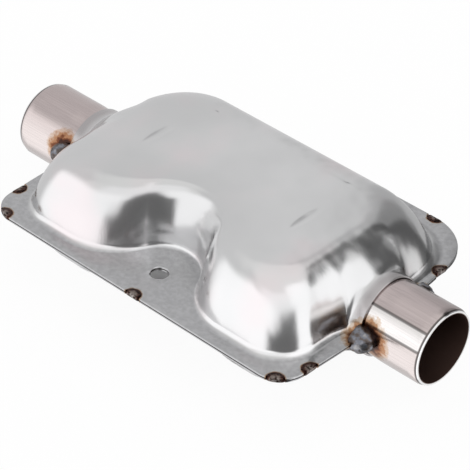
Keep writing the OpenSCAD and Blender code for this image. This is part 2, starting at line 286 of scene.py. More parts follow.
# %% The flange's edge
EDGE_CORNER_STEPS, EDGE_SIDE_STEPS = 120, 40
NEAR_C = (FLANGE["half"] - FLANGE["near_bow"] - FLANGE["near_r"], FLANGE["near_r"] - FLANGE["near"])
FAR_C = {end: (FLANGE["half"] - FLANGE[end + "_bow"] - FLANGE[end + "_r"],
               FLANGE["far"] - FLANGE[end + "_r"]) for end in ("inlet", "outlet")}


def end_edge(y, end):
    """How far out the flange's bowed edge is at one end of the muffler."""
    near_back = FLANGE["near_bow"] * (y / NEAR_C[1]) ** 2
    far_back = FLANGE[end + "_bow"] * y / FAR_C[end][1]
    return FLANGE["half"] - np.where(y < 0, near_back, far_back)


def edge_half(section, end, inset):
    """Half of the flange's edge, point for point with chamber_half, set in by inset."""
    near, far = FLANGE["near"] - inset, FLANGE["far"] - inset
    ys = section[:, 0]
    first = chamber_half(0, section, UPPER_H)[:POCKET_N + MOUTH_N + 1, 0]
    pocket = np.stack([first, np.full(len(first), -near)], 1)[:-1]
    corner = arc(*NEAR_C, FLANGE["near_r"] - inset, -90, 0, EDGE_CORNER_STEPS)
    up = np.linspace(NEAR_C[1], ys[0], EDGE_SIDE_STEPS)
    straight = np.stack([end_edge(up, end) - inset, up], 1)
    near_way = resampled(np.concatenate([[[first[-1], -near]], corner[:-1], straight]), NEAR_N)[:-1]
    ease = eased(np.clip((np.abs(ys) - COLLAR_R) / (ys[-1] - COLLAR_R), 0, 1))
    middle = np.stack([mix(COLLAR_END - inset, end_edge(ys, end) - inset, ease), ys], 1)
    corner = arc(*FAR_C[end], FLANGE[end + "_r"] - inset, 0, 90, EDGE_CORNER_STEPS)
    up = np.linspace(ys[-1], FAR_C[end][1], EDGE_SIDE_STEPS)
    straight = np.stack([end_edge(up, end) - inset, up], 1)
    far_way = resampled(np.concatenate([straight[:-1], corner]), FAR_N)[1:]
    side = resampled(np.array([far_way[-1], [0, far]]), SIDE_N)[1:]
    return np.concatenate([pocket, near_way, middle, far_way, side])


print("points in half an edge:", len(edge_half(section, "outlet", 0.0)))

# %% [markdown]
# ## Rings of the sheet
#
# The half round collars that hold the pipes grow wider as they enter the end walls, like
# the bell of a trumpet. Where a collar meets its wall there is a soft hollow. A boolean
# and a bevel could make one, but not with a radius that fades out. Instead the greater of
# the two heights is taken, with a smooth change between them.

# %% Rings of the sheet
TRUMPET_FROM, TRUMPET_OVER, TRUMPET_LEAVE = 0.1, 0.45, 1.5
EDGE_RINGS, EDGE_ROUND = 4, 0.2


def joined(z, collar, floor, r, h):
    """The wall's height and the collar's, joined by a soft hollow."""
    most = min(COLLAR_BLEND, rise(h) - CROWN + SHEET - r)
    k = np.maximum(1e-6, most * (collar - floor) / (r - floor))
    near = np.maximum(0, k - np.abs(z - collar)) / k
    return np.maximum(z, collar) + near ** 2 * k / 4


def collar_heights(ring, section, floor):
    """Height of the collar's section at each point of a ring."""
    y = ring[:, 1]
    order = np.argsort(section[:, 0])
    height = np.interp(y, section[order, 0], section[order, 1])
    return np.where(np.abs(y) <= section[-1, 0] + 1e-9, height, floor)


def wall_rings(h, inset, floor, r, fillet):
    """Rings of one face of the sheet, from the chamber's foot to the rim of its top."""
    rings = []
    for share, z in wall_profile(inset, h):
        opened = min(1, max(0, share - TRUMPET_FROM) / TRUMPET_OVER)
        wide_r = r + min(TRUMPET, rise(h) - COLLAR_R - TRUMPET_LEAVE) * eased(opened)
        wide = collar_section(wide_r, floor, fillet)
        half = chamber_half(share, wide, h)
        plan = closed_ring(half, half)
        height = joined(floor + z, collar_heights(plan, wide, floor), floor, wide_r, h)
        rings.append(np.column_stack([plan, height]))
    return rings


def edge_rings(section, floor):
    """Rings of the flange's edge as it rounds over, each with how far it lies off the face."""
    rings = []
    for i in range(EDGE_RINGS + 1):
        a = math.pi / 2 * i / EDGE_RINGS
        inset = EDGE_ROUND * (1 - math.sin(a))
        plan = closed_ring(edge_half(section, "outlet", inset), edge_half(section, "inlet", inset))
        ring = np.column_stack([plan, collar_heights(plan, section, floor)])
        rings.append((ring, EDGE_ROUND * (1 - math.cos(a))))
    return rings


rings = wall_rings(UPPER_H, 0, SHEET, COLLAR_R + SHEET, COLLAR_FILLET)
print("rings up the outer face:", len(rings), "to", round(rings[-1][:, 2].max(), 2), "mm")

# %% [markdown]
# ## The top and its locating dimples
#
# The flat top has a slight crown, so the shoulder never ends in a hard line. Two shallow
# dimples with soft rims mark where the baffle plates sit inside. They could be drawn with
# a bump, but in polished steel a dimple shows by its true slope, so the top has points
# close together round each one, and a triangulation fills it from its rim.

# %% The top and its locating dimples
CAP_FROM, CAP_STEP, CAP_LEAVE = 1.0, 1.7, 0.8
FINE_HALF, FINE_STEP, FINE_LEAVE = (2.1, 8.1), (0.3, 0.6), (0.3, 0.5)
DIMPLE_SOFTNESS = 1.2


def top_shape(points, ring):
    """What the top adds to the height of its rim: a slight crown and two locating dimples."""
    x, y = points[:, 0], points[:, 1]
    off = ((np.abs(x) - DIMPLE_X) / (DIMPLE_W / 2)) ** 2 + ((y - DIMPLE_Y) / (DIMPLE_LEN / 2)) ** 2
    dimple = DIMPLE_DEPTH * np.maximum(0, 1 - off) ** DIMPLE_SOFTNESS
    inward = np.min(np.linalg.norm(points[:, None] - ring[None], axis=2), axis=1) / CROWN_W
    return CROWN * (1 - np.maximum(0, 1 - inward) ** 2) - dimple


def in_ring(p, ring):
    """Whether a line from a point to the right crosses the ring an odd number of times."""
    a, b = ring, np.roll(ring, -1, axis=0)
    crosses = (a[:, 1] > p[1]) != (b[:, 1] > p[1])
    slope = (p[1] - a[:, 1]) / np.where(crosses, b[:, 1] - a[:, 1], 1)
    at = a[:, 0] + slope * (b[:, 0] - a[:, 0])
    return np.count_nonzero(crosses & (at > p[0])) % 2 == 1


def by_dimple(x, y):
    """Whether a place is in the finer grid round one of the dimples."""
    return (abs(abs(x) - DIMPLE_X) <= FINE_HALF[0] + FINE_LEAVE[0]
            and abs(y - DIMPLE_Y) <= FINE_HALF[1] + FINE_LEAVE[1])


def cap_points(ring):
    """Points inside the flat top, close together round the dimples."""
    low, high = ring.min(0) + CAP_FROM, ring.max(0)
    wide = [(x, y) for x in np.arange(low[0], high[0], CAP_STEP)
            for y in np.arange(low[1], high[1], CAP_STEP) if not by_dimple(x, y)]
    across, along = [np.arange(-half, half + 0.01, step) for half, step in zip(FINE_HALF, FINE_STEP)]
    fine = [(side * DIMPLE_X + dx, DIMPLE_Y + dy) for side in (-1, 1) for dx in across for dy in along]
    return np.array([p for p in np.array(wide + fine)
                     if in_ring(p, ring) and np.min(np.linalg.norm(ring - p, axis=1)) > CAP_LEAVE])


def cap(ring):
    """Triangles over a ring, and the extra points that they use."""
    extra = cap_points(ring)
    points = [Vector(p) for p in np.concatenate([ring, extra])]
    _, _, faces, origins, _, _ = delaunay_2d_cdt(points, [], [list(range(len(ring)))], 1, 1e-7)
    back = [origin[0] if origin else None for origin in origins]
    assert None not in back, "the cap has a point of its own"
    return extra, [[back[i] for i in face] for face in faces]


print("triangles on the top:", len(cap(rings[-1][:, :2])[1]))

# %% [markdown]
# ## A whole half shell
#
# Both faces are made from rings, one sheet thickness apart, and joined round the flange's
# edge, so that the shell is a real sheet with an inside. A Solidify modifier could thicken
# one face, but it leaves a square rim, and the rim of a trimmed flange is a little round.

# %% A whole half shell


def bands(rows, n, closed=False):
    """Quads between one ring of n points and the next, and from the last to the first if closed."""
    pairs = [(k, (k + 1) % rows) for k in range(rows if closed else rows - 1)]
    return [(a * n + i, a * n + (i + 1) % n, b * n + (i + 1) % n, b * n + i)
            for a, b in pairs for i in range(n)]


def sheet_mesh(h):
    """Points and faces of a half shell of height h, with the joint plane at zero."""
    inner_fillet, outer_r = COLLAR_FILLET + SHEET, COLLAR_R + SHEET
    inner = wall_rings(h, SHEET, 0, COLLAR_R, inner_fillet)
    outer = wall_rings(h, 0, SHEET, outer_r, COLLAR_FILLET)
    low = edge_rings(collar_section(COLLAR_R, 0, inner_fillet), 0)
    high = edge_rings(collar_section(outer_r, SHEET, COLLAR_FILLET), SHEET)
    across = high[-1][0] - low[-1][0]
    across /= np.linalg.norm(across, axis=1)[:, None]
    rows = inner[::-1] + [ring + across * lift for ring, lift in low]
    rows += [ring - across * lift for ring, lift in high[::-1]] + outer
    n = len(rows[0])
    points, faces = np.concatenate(rows), bands(len(rows), n)
    for row, top_h, outside in ((0, h - SHEET, False), (len(rows) - 1, h, True)):
        ring = rows[row][:, :2]
        extra, triangles = cap(ring)
        base = len(points)
        heights = top_h - CROWN + top_shape(extra, ring)
        points = np.concatenate([points, np.column_stack([extra, heights])])
        for t in triangles:
            t = [row * n + i if i < n else base + i - n for i in t]
            faces.append(tuple(t if outside else t[::-1]))
    return points, faces


print("quads in a band:", len(bands(2, len(rings[0]))))

# %% [markdown]
# ## Where the welds are
#
# Ten tack welds join the flanges at their edge. Each is a small puddle that melted both
# sheets together. Four longer beads sit beside the pipes, in front of the collars. The
# places follow the flange's sizes, so a weld stays on the edge when the flange changes.

# %% Where the welds are
TACK_R = 2.8
BEAD_R = dict(inlet=3.5, outlet=4.0)


def on_corner(x, y, r, degrees):
    a = math.radians(degrees)
    return (x + r * math.cos(a), y + r * math.sin(a))


def flipped(p):
    return (-p[0], p[1])


near_round = (NEAR_C, FLANGE["near_r"])
inlet_round = (FAR_C["inlet"], FLANGE["inlet_r"])
# name, place on the edge, and the round corner that it sits on (its middle and radius) or None
TACKS = [
    ("tack_near_inlet", flipped(on_corner(*NEAR_C, near_round[1], -72)), (flipped(NEAR_C), near_round[1])),
    ("tack_near_middle", (1.5, -FLANGE["near"]), None),
    ("tack_near_outlet", on_corner(*NEAR_C, near_round[1], -56), near_round),
    ("tack_outlet_near", (float(end_edge(-33, "outlet")), -33), None),
    ("tack_outlet_far", (float(end_edge(26, "outlet")), 26), None),
    ("tack_far_outlet", (FAR_C["outlet"][0], FLANGE["far"]), None),
    ("tack_far_middle", (13, FLANGE["far"]), None),
    ("tack_far_inlet", (-19.5, FLANGE["far"]), None),
    ("tack_inlet_far", flipped(on_corner(*inlet_round[0], inlet_round[1], 56)),
     (flipped(inlet_round[0]), inlet_round[1])),
    ("tack_inlet_near", (-float(end_edge(-32.5, "inlet")), -32.5), None),
]
# name, end (-1 is the inlet), side (-1 is near), radius, and lift off the joint plane
BEADS = [
    ("weld_inlet_near", -1, -1, 3.8, 2.8),
    ("weld_inlet_far", -1, 1, BEAD_R["inlet"], 0.0),
    ("weld_outlet_near", 1, -1, BEAD_R["outlet"], 0.0),
    ("weld_outlet_far", 1, 1, BEAD_R["outlet"], 0.0),
]
print("tack welds:", len(TACKS), "beads:", len(BEADS))

# %% [markdown]
# ## Nodes in short lines
#
# A finish is a small tree of nodes. Clicking it together would be quick once, but a
# script can be read and changed. One function adds any node, with its settings and links,
# so each finish is a few short lines. Colours are written as sRGB hex, as a painter's
# chart gives them, and one function turns them into the linear light of the shader. All
# metals here keep the shader's own index of refraction.

# %% Nodes in short lines
MM = 0.001
SOFT = dict(interpolation_type="SMOOTHSTEP")
COLOURS = dict(output=2, data_type="RGBA", clamp_factor=True)


def linear(code):
    """A colour written as sRGB hex, as the shader wants it."""
    shares = [int(code[i:i + 2], 16) / 255 for i in (0, 2, 4)]
    return [s / 12.92 if s <= 0.04045 else ((s + 0.055) / 1.055) ** 2.4 for s in shares] + [1.0]


def add(tree, kind, inputs=(), output=0, stops=(), **settings):
    """Add a node, set or link its inputs, and give back one of its outputs.

    Inputs are a list in the node's own order, or a dictionary by name or number. A socket
    is linked and any other value is set. Stops are (place, hex colour) on a colour ramp.
    """
    node = tree.nodes.new("ShaderNode" + kind)
    for name, value in settings.items():
        setattr(node, name, value)
    pairs = inputs.items() if isinstance(inputs, dict) else enumerate(inputs)
    for name, value in pairs:
        if isinstance(value, bpy.types.NodeSocket):
            tree.links.new(value, node.inputs[name])
        else:
            node.inputs[name].default_value = value
    if stops:
        node.color_ramp.interpolation = "EASE"
        line = node.color_ramp.elements
        while len(line) < len(stops):
            line.new(0.5)
        for element, (place, code) in zip(line, stops):
            element.position = place
            element.color = linear(code)
    return node.outputs[output] if node.outputs else node


def blank(name, metallic, roughness):
    """A new material, its tree and its shader, with the values that are the same all over."""
    material = bpy.data.materials.new(name)
    material.use_nodes = True
    tree = material.node_tree
    shader = next(n for n in tree.nodes if n.type == "BSDF_PRINCIPLED")
    shader.inputs["Metallic"].default_value = metallic
    shader.inputs["Roughness"].default_value = roughness
    return material, tree, shader


print("mid grey in linear light:", round(linear("808080")[0], 3))

# %% [markdown]
# ## Patterns and heat tint
#
# Metal is never even. Each pattern is a noise whose patches have a size in millimetres,
# with a colour ramp over it or a bump made from it. A pixel of the picture covers about
# 0.3 mm, so scuffs and lines that are really finer are drawn just coarse enough to show.
#
# Heat leaves a film of oxide on stainless steel: brown at the weld's rim, then straw,
# then nothing. Painting it would need an image, so it is drawn from the distance to the
# nearest weld, and a noise with lobes of 1.4 mm makes its edge wander. It reaches further
# on the thin pipe than on the flange, which draws the heat away.

# %% Patterns and heat tint
LOBE = 1.43
TINT = [(0.0, "54403a"), (0.2, "8a5c44"), (0.42, "c79c78"), (0.7, "ecdccb"), (1.0, "ffffff")]
TACK_SPOTS = [(x, y, 0.0) for _, (x, y), _ in TACKS]
BEAD_SPOTS = [(end * (COLLAR_END + 2), side * (BODY_R + r / 3), lift) for _, end, side, r, lift in BEADS]
# where the oxide starts and where it ends, from the middle of a tack or of a bead
TACK_TINT, BEAD_TINT, PIPE_TINT = (2.5, 3.3), (3.6, 7.0), (4.0, 8.4)


def pattern(tree, place, size, detail, roughness=0.5, stretch=None):
    """A noise with patches of a size in millimetres, stretched along an axis if asked."""
    if stretch:
        place = add(tree, "Mapping", {"Vector": place, "Scale": stretch})
    return add(tree, "TexNoise", {"Vector": place, "Scale": 1000 / size, "Detail": detail,
                                  "Roughness": roughness})


def nearest(tree, place, spots):
    """Distance in metres from place to the nearest of some spots in millimetres."""
    found = None
    for x, y, z in spots:
        spot = (x * MM, y * MM, (z + JOINT) * MM)
        apart = add(tree, "VectorMath", [place, spot], "Value", operation="DISTANCE")
        found = add(tree, "Math", [found, apart], operation="MINIMUM") if found else apart
    return found


def heat_tint(tree, place, base, spots, start, reach):
    """Brown oxide over a base colour, from start to reach in millimetres round each spot."""
    wander = add(tree, "Math", [pattern(tree, place, LOBE, 3.0), 0.5], operation="SUBTRACT")
    wander = add(tree, "Math", [wander, reach - start], operation="MULTIPLY")
    away = add(tree, "Math", [nearest(tree, place, spots), 1000.0], operation="MULTIPLY")
    away = add(tree, "Math", [away, wander], operation="ADD")
    share = add(tree, "MapRange", [away, start, reach])
    film = add(tree, "ValToRGB", [share], stops=TINT)
    return add(tree, "Mix", {0: 1.0, 6: base, 7: film}, blend_type="MULTIPLY", **COLOURS)


print("welds that tint the steel:", len(TACK_SPOTS) + len(BEAD_SPOTS))

# %% [markdown]
# ## Bright stamped sheet
#
# The shells are pressed from bright annealed stainless sheet, with a typical roughness
# of 0.1 to 0.2. It mirrors the room softly. Drawing the sheet over the die leaves a faint
# waviness and, on the walls, upright scuffs, which are really finer than they are drawn.
# The colour is almost neutral, with slow clouds and a trace of pink where the sheet was
# drawn hardest.
#
# The flange is painted darker than the walls: a painted reflection of the walls, which it
# mirrors, with a mottle from rubbing where it was clamped in the tool. Between the two flanges
# runs a dark crack, which is drawn from the distance to the joint plane. The collars' tops
# are painted greyer near their ends, a painted reflection.

# %% Bright stamped sheet
BLUSH, CLOUD, RUB, WAVE, SCUFF = 22.2, 45.5, 1.54, 14.3, 0.714
# height off the joint below which the flange gets its mottled tone, painted darker as a reflection of the
# walls
FLANGE_TONE_FROM, FLANGE_TONE_TO = 0.8, 1.4
CRACK_OUT, CRACK_IN = 0.26, 0.14
# where the collars' tops are painted greyer, a painted reflection, by distance along X
COLLAR_REFLECTION_FROM, COLLAR_REFLECTION_TO = COLLAR_END - 5.0, COLLAR_END - 1.5
RAISED_FROM, RAISED_TO = 3.0, 6.0
SCUFF_SHARE, WAVE_DEPTH = 0.018, 0.9


def sheet_finish():
    """Polished sheet with clouds, painted reflections on the flange and collars, a dark joint and tinted
    weld places.
    """
    material, tree, shader = blank("Stainless steel sheet - bright annealed, stamped", 1.0, 0.19)
    place = add(tree, "TexCoord", output="Object")
    x, _, z = add(tree, "SeparateXYZ", [place]).node.outputs
    off_joint = add(tree, "Math", [z, JOINT * MM], operation="SUBTRACT")
    off_joint = add(tree, "Math", [off_joint], operation="ABSOLUTE")
    off_middle = add(tree, "Math", [x], operation="ABSOLUTE")

    blush = add(tree, "ValToRGB", [pattern(tree, place, BLUSH, 2.0)],
                stops=[(0.45, "e9e9e9"), (0.75, "ece5e6")])
    cloud = add(tree, "ValToRGB", [pattern(tree, place, CLOUD, 3.0, 0.45)],
                stops=[(0.35, "f0f0f0"), (0.65, "ffffff")])
    # the flange's mottled tone, painted darker: a painted reflection of the walls in the flange
    flange_rub_and_reflection = add(tree, "ValToRGB", [pattern(tree, place, RUB, 4.0, 0.6)],
                 stops=[(0.35, "b8b8b9"), (0.65, "c3c3c4")])
    drawn = add(tree, "Mix", {0: 1.0, 6: blush, 7: cloud}, blend_type="MULTIPLY", **COLOURS)
    above = add(tree, "MapRange", [off_joint, FLANGE_TONE_FROM * MM, FLANGE_TONE_TO * MM])
    tone = add(tree, "Mix", {0: above, 6: flange_rub_and_reflection, 7: drawn}, **COLOURS)

    # Painted reflection: the top of each collar is painted greyer near its end.
    rim = add(tree, "MapRange", [off_middle, COLLAR_REFLECTION_FROM * MM, COLLAR_REFLECTION_TO * MM], **SOFT)
    raised = add(tree, "MapRange", [off_joint, RAISED_FROM * MM, RAISED_TO * MM], **SOFT)
    rim = add(tree, "Math", [rim, raised], operation="MULTIPLY")
    crack = add(tree, "MapRange", [off_joint, CRACK_OUT * MM, CRACK_IN * MM], **SOFT)
    for share, colour in ((rim, "bcb8b8"), (crack, "2e2a28")):
        tone = add(tree, "Mix", {0: share, 6: tone, 7: linear(colour)}, **COLOURS)
    tone = heat_tint(tree, place, tone, TACK_SPOTS, *TACK_TINT)
    tone = heat_tint(tree, place, tone, BEAD_SPOTS, *BEAD_TINT)
    tree.links.new(tone, shader.inputs["Base Color"])

    waves = pattern(tree, place, WAVE, 2.0, stretch=(1.0, 1.0, 0.5))
    scuffs = pattern(tree, place, SCUFF, 2.0, stretch=(1.0, 1.0, 0.06))
    scuffs = add(tree, "Math", [scuffs, SCUFF_SHARE], operation="MULTIPLY")
    relief = add(tree, "Math", [waves, scuffs], operation="ADD")
    bump = add(tree, "Bump", {"Height": relief, "Distance": WAVE_DEPTH * MM, "Strength": 0.6})
    tree.links.new(bump, shader.inputs["Normal"])
    return material


sheet_steel = sheet_finish()
print("sheet:", sheet_steel.name, "- waves", WAVE, "mm apart")

# %% [markdown]
# ## Drawn pipe
#
# The pipes are roll formed tube. Forming leaves fine lines along the pipe, so the pattern
# is stretched along X. The metal is a little pinker and duller than the sheet, and darker
# and browner towards the top.
#
# Along the outlet pipe runs a bright strip between two fine dark lines, a painted
# reflection of a softbox's edges in the polished pipe, drawn from the angle round the pipe.
# The inlet pipe has none. The bevelled end is painted with a dark line and then a white
# highlight, a painted reflection, and the bore is browned by hot gas.

# %% Drawn pipe
# the painted reflection band along the outlet pipe: its angle round the pipe, its half width and its soft
# dark edges
BAND_ANGLE, BAND_HALF, BAND_LINE, BAND_FINE = [math.radians(a) for a in (36.0, 14.0, 3.2, 0.8)]
BAND_DARK = 0.8
LINE, LINE_DEPTH = 0.455, 0.02
TOP_FROM, TOP_TO = 2.0, 10.5
# the bevelled end's painted reflection: a dark line, then a painted white highlight, by distance along the
# bevel
BEVEL_DARK_FROM, BEVEL_DARK_TO, END_HIGHLIGHT_FROM, END_HIGHLIGHT_TO = 0.5, 0.8, 1.1, 1.3
BORE_FROM, BORE_TO = BORE_R + 0.3, BORE_R + 0.1
PIPE_ROUGH, BORE_ROUGH = 0.17, 0.38


def painted_reflection_band(tree, tone, y, height):
    """A painted reflection along the pipe: a bright strip with a thin dark line at each side."""
    toward = add(tree, "Math", [y, -1.0], operation="MULTIPLY")
    angle = add(tree, "Math", [height, toward], operation="ARCTAN2")
    off = add(tree, "Math", [angle, BAND_ANGLE], operation="SUBTRACT")
    off = add(tree, "Math", [off], operation="ABSOLUTE")
    inside = add(tree, "Math", [off, BAND_HALF], operation="LESS_THAN")
    line = add(tree, "Math", [off, BAND_HALF], operation="SUBTRACT")
    line = add(tree, "Math", [line], operation="ABSOLUTE")
    line = add(tree, "MapRange", [line, BAND_LINE, BAND_FINE], **SOFT)
    line = add(tree, "Math", [line, BAND_DARK], operation="MULTIPLY")
    for share, colour in ((inside, "f4f0ee"), (line, "5e5a58")):
        tone = add(tree, "Mix", {0: share, 6: tone, 7: linear(colour)}, **COLOURS)
    return tone


def pipe_finish(name, end, reflection_band):
    """Drawn pipe, darker and browner towards the top, with a painted highlight at its end, and with a
    painted reflection band or not.
    """
    material, tree, shader = blank(name, 1.0, PIPE_ROUGH)
    place = add(tree, "TexCoord", output="Object")
    x, y, z = add(tree, "SeparateXYZ", [place]).node.outputs
    height = add(tree, "Math", [z, JOINT * MM], operation="SUBTRACT")
    # the pipe's tone, darker and browner towards the top
    upper = add(tree, "MapRange", [height, TOP_FROM * MM, TOP_TO * MM], **SOFT)
    tone = add(tree, "Mix", {0: upper, 6: linear("e3d9d6"), 7: linear("d0c3c1")}, **COLOURS)
    # Painted reflection: a bright band with dark edges along the outlet pipe.
    if reflection_band:
        tone = painted_reflection_band(tree, tone, y, height)
    lines = pattern(tree, place, LINE, 2.0, 0.6, stretch=(0.03, 1.0, 1.0))
    streak = add(tree, "ValToRGB", [lines], stops=[(0.25, "f2f2f2"), (0.75, "ffffff")])
    tone = add(tree, "Mix", {0: 1.0, 6: tone, 7: streak}, blend_type="MULTIPLY", **COLOURS)
    tone = heat_tint(tree, place, tone, BEAD_SPOTS, *PIPE_TINT)

    along = add(tree, "Math", [x], operation="ABSOLUTE")
    along = add(tree, "Math", [along, (COLLAR_END + STUBS[end] - BEVEL) * MM], operation="SUBTRACT")
    # Painted reflection at the bevelled end: a dark line, then a painted highlight in white.
    bevel_dark = add(tree, "MapRange", [along, BEVEL_DARK_FROM * MM, BEVEL_DARK_TO * MM], **SOFT)
    end_highlight = add(tree, "MapRange", [along, END_HIGHLIGHT_FROM * MM, END_HIGHLIGHT_TO * MM], **SOFT)
    across = add(tree, "CombineXYZ", {"Y": y, "Z": height})
    across = add(tree, "VectorMath", [across], "Value", operation="LENGTH")
    bore = add(tree, "MapRange", [across, BORE_FROM * MM, BORE_TO * MM], **SOFT)
    for share, colour in ((bevel_dark, "6c6664"), (end_highlight, "ffffff"), (bore, "6e5850")):
        tone = add(tree, "Mix", {0: share, 6: tone, 7: linear(colour)}, **COLOURS)
    rough = add(tree, "Math", [bore, BORE_ROUGH], operation="MULTIPLY")
    rough = add(tree, "Math", [rough, PIPE_ROUGH], operation="ADD")
    bump = add(tree, "Bump", {"Height": lines, "Distance": LINE_DEPTH * MM, "Strength": 0.4})
    for value, socket in ((rough, "Roughness"), (tone, "Base Color"), (bump, "Normal")):
        tree.links.new(value, shader.inputs[socket])
    return material


PIPE_STEEL = dict(inlet=pipe_finish("Stainless steel pipe - drawn, warmed by welding", "inlet", False),
                  outlet=pipe_finish("Stainless steel pipe - drawn, painted reflection band", "outlet", True))
print("pipes:", [material.name for material in PIPE_STEEL.values()])

# %% [markdown]
# ## Weld metal
#
# A weld cools from its rim to its middle and leaves small ripples. Where the shielding
# gas did not cover it, it is grey, brown and blue with oxide, in patches of about 2 mm. A
# tack's puddle is grey in the middle and nearly black at its rim, so its colour follows
# the distance from its middle. Oxide is rougher than clean steel, about 0.3.

# %% Weld metal
PATCH, RIPPLE, SPECK, SCALE_GRAIN, PIT = 2.22, 0.833, 0.667, 0.769, 0.4
RIM_WANDER = 0.5


def bead_finish():
    """Rippled metal in grey, brown and blue patches."""
    material, tree, shader = blank("Weld metal - rippled, oxidised", 1.0, 0.32)
    place = add(tree, "TexCoord", output="Object")
    tone = add(tree, "ValToRGB", [pattern(tree, place, PATCH, 3.0)],
               stops=[(0.3, "4c4444"), (0.45, "6c6460"), (0.55, "7e8088"), (0.7, "a8a6a6")])
    bump = add(tree, "Bump", {"Height": pattern(tree, place, RIPPLE, 2.0), "Distance": 0.15 * MM,
                              "Strength": 0.5})
    tree.links.new(tone, shader.inputs["Base Color"])
    tree.links.new(bump, shader.inputs["Normal"])
    return material


def tack_finish():
    """A grey puddle with a burnt rim, grained with scale."""
    material, tree, shader = blank("Tack weld - puddle with a burnt rim", 1.0, 0.34)
    place = add(tree, "TexCoord", output="Object")
    wander = add(tree, "Math", [pattern(tree, place, SPECK, 3.0), 0.5], operation="SUBTRACT")
    wander = add(tree, "Math", [wander, RIM_WANDER], operation="MULTIPLY")
    away = add(tree, "Math", [nearest(tree, place, TACK_SPOTS), TACK_R * MM], operation="DIVIDE")
    away = add(tree, "Math", [away, wander], operation="ADD")
    tone = add(tree, "ValToRGB", [away], stops=[(0.0, "a8a29e"), (0.5, "857a74"), (0.72, "5a4038"),
                                                (0.88, "35211d"), (1.0, "5a3a2e")])
    grain = add(tree, "ValToRGB", [pattern(tree, place, SCALE_GRAIN, 3.0)],
                stops=[(0.38, "5c4a44"), (0.55, "ffffff")])
    tone = add(tree, "Mix", {0: 1.0, 6: tone, 7: grain}, blend_type="MULTIPLY", **COLOURS)
    bump = add(tree, "Bump", {"Height": pattern(tree, place, PIT, 2.0), "Distance": 0.3 * MM,
                              "Strength": 0.6})
    tree.links.new(tone, shader.inputs["Base Color"])
    tree.links.new(bump, shader.inputs["Normal"])
    return material


weld_metal, tack_metal = bead_finish(), tack_finish()
print("welds:", weld_metal.name, "and", tack_metal.name)

# %% [markdown]
# ## Plain steel inside
#
# The baffle plates and the core tube can't be seen from outside. They keep the packed
# part's own meshes and get the look of plain rolled sheet, with faint lines along Y.

# %% Plain steel inside
ROLLED = 0.667
inner_steel, tree, shader = blank("Stainless steel sheet - rolled, dull", 1.0, 0.36)
shader.inputs["Base Color"].default_value = linear("b4b0ac")
place = add(tree, "TexCoord", output="Object")
lines = pattern(tree, place, ROLLED, 2.0, stretch=(1.0, 0.1, 1.0))
bump = add(tree, "Bump", {"Height": lines, "Distance": 0.04 * MM, "Strength": 0.5})
tree.links.new(bump, shader.inputs["Normal"])
for name in ("inlet_baffle", "outlet_baffle", "core_tube"):
    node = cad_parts[name]
    node.data.materials.clear()
    node.data.materials.append(inner_steel)
print("materials:", sorted(m.name for m in bpy.data.materials))

# %% [markdown]
# ## From points to pieces
#
# Blender gets the points in metres, lifted so that the joint plane is where the part has
# it. Faces are shaded smooth, and only edges that bend more than an angle stay sharp.
# Holes are cut with turned cutters and one exact boolean, which copes with cutters that
# touch the sheet's own curves.

# %% From points to pieces
SMOOTH = math.radians(38)


def metres(points):
    return (np.asarray(points, float) + [0, 0, JOINT]) * MM


def new_piece(name, points, faces, material, smooth=SMOOTH):
    """A piece in the scene from points in millimetres and faces."""
    mesh = bpy.data.meshes.new(name)
    mesh.from_pydata(metres(points).tolist(), [], [tuple(int(i) for i in f) for f in faces])
    mesh.validate()
    mesh.update()
    mesh.polygons.foreach_set("use_smooth", [True] * len(mesh.polygons))
    mesh.set_sharp_from_angle(angle=smooth)
    piece = bpy.data.objects.new(name, mesh)
    bpy.context.scene.collection.objects.link(piece)
    if material:
        mesh.materials.append(material)
    return piece


def turned(profile, steps, closed=False):
    """A profile of (radius, height) turned about Z, as points and quads."""
    angles = [2 * math.pi * j / steps for j in range(steps)]
    points = [(r * math.cos(a), r * math.sin(a), z) for r, z in profile for a in angles]
    return np.array(points), bands(len(profile), steps, closed)


def plug(profile, steps, place):
    """A turned cutter with flat ends, moved to its place."""
    points, faces = turned(profile, steps)
    last = (len(profile) - 1) * steps
    faces.append(tuple(range(steps - 1, -1, -1)))
    faces.append(tuple(last + j for j in range(steps)))
    return points + [place[0], place[1], 0], faces


def cut(piece, plugs):
    """Cut plugs out of a piece with one exact boolean."""
    faces, count = [], 0
    for points, own in plugs:
        faces += [tuple(i + count for i in face) for face in own]
        count += len(points)
    cutter = new_piece("cutter", np.concatenate([points for points, _ in plugs]), faces, None)
    cutter.data.shade_smooth()
    change = piece.modifiers.new("cut", "BOOLEAN")
    change.operation, change.object, change.solver = "DIFFERENCE", cutter, "EXACT"
    bpy.context.view_layer.update()
    after = piece.evaluated_get(bpy.context.evaluated_depsgraph_get())
    made = bpy.data.meshes.new_from_object(after)
    piece.modifiers.clear()
    piece.data = made
    made.set_sharp_from_angle(angle=SMOOTH)
    bpy.data.objects.remove(cutter)


print("joint plane at", round(float(metres([[0, 0, 0]])[0, 2]), 4), "m")

# %% [markdown]
# ## Shells in place
#
# The bolt hole is cut through each sheet, and so are the rounds that the tack welds melted
# out. The hole's cutter flares at both faces, because a punched edge is never quite sharp.
# The lower shell is the same kind of sheet, less deep and turned over about the joint.

